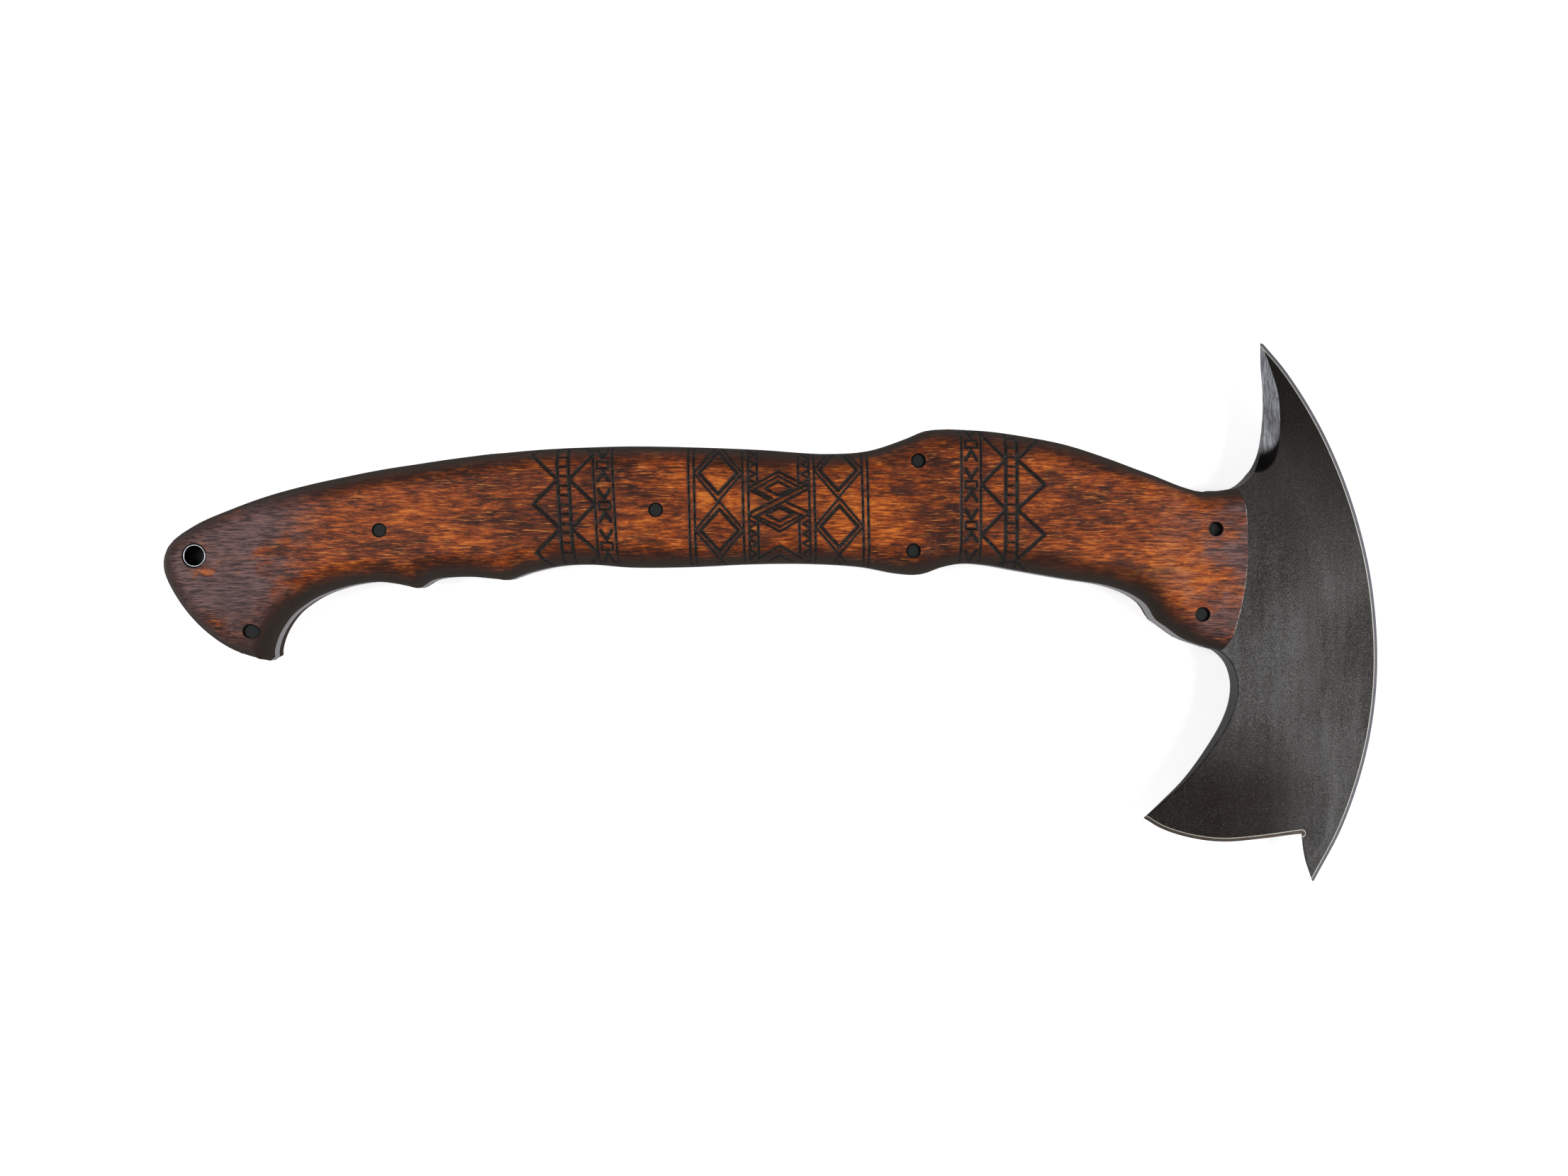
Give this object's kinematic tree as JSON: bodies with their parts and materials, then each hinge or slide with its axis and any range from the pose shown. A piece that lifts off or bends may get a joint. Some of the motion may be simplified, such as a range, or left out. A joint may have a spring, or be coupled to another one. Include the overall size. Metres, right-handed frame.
{
  "type": "hand axe",
  "caption": "Hand axe whose full-tang steel head has a long curved edge, spike, beard and lower point, with stained, carved wooden handle scales pinned to the tang.",
  "frame": {"origin": "centre of the axe's bounding box in plan, at the back scale's flat outer face, on which the axe lies", "axes": "+X from the pommel to the cutting edge, +Y from the beard to the spike, +Z from the back scale to the front scale"},
  "size_m": [0.3776, 0.1686, 0.025],
  "materials": {
    "blade_steel": "dark, fine matt scale finish with brighter ground edges",
    "stained_wood": "red-brown stain, oiled satin, scorched along edges and in the carving",
    "black_pin": "matt black",
    "tube_steel": "plain satin"
  },
  "bodies": {
    "root": {"blade_and_tang": "blade_steel", "front_scale": "stained_wood", "back_scale": "stained_wood", "grip_upper_pin": "black_pin", "pommel_hook_pin": "black_pin", "grip_mid_pin": "black_pin", "waist_upper_pin": "black_pin", "waist_lower_pin": "black_pin", "head_upper_pin": "black_pin", "head_lower_pin": "black_pin", "lanyard_tube": "tube_steel"}
  },
  "joints": []
}
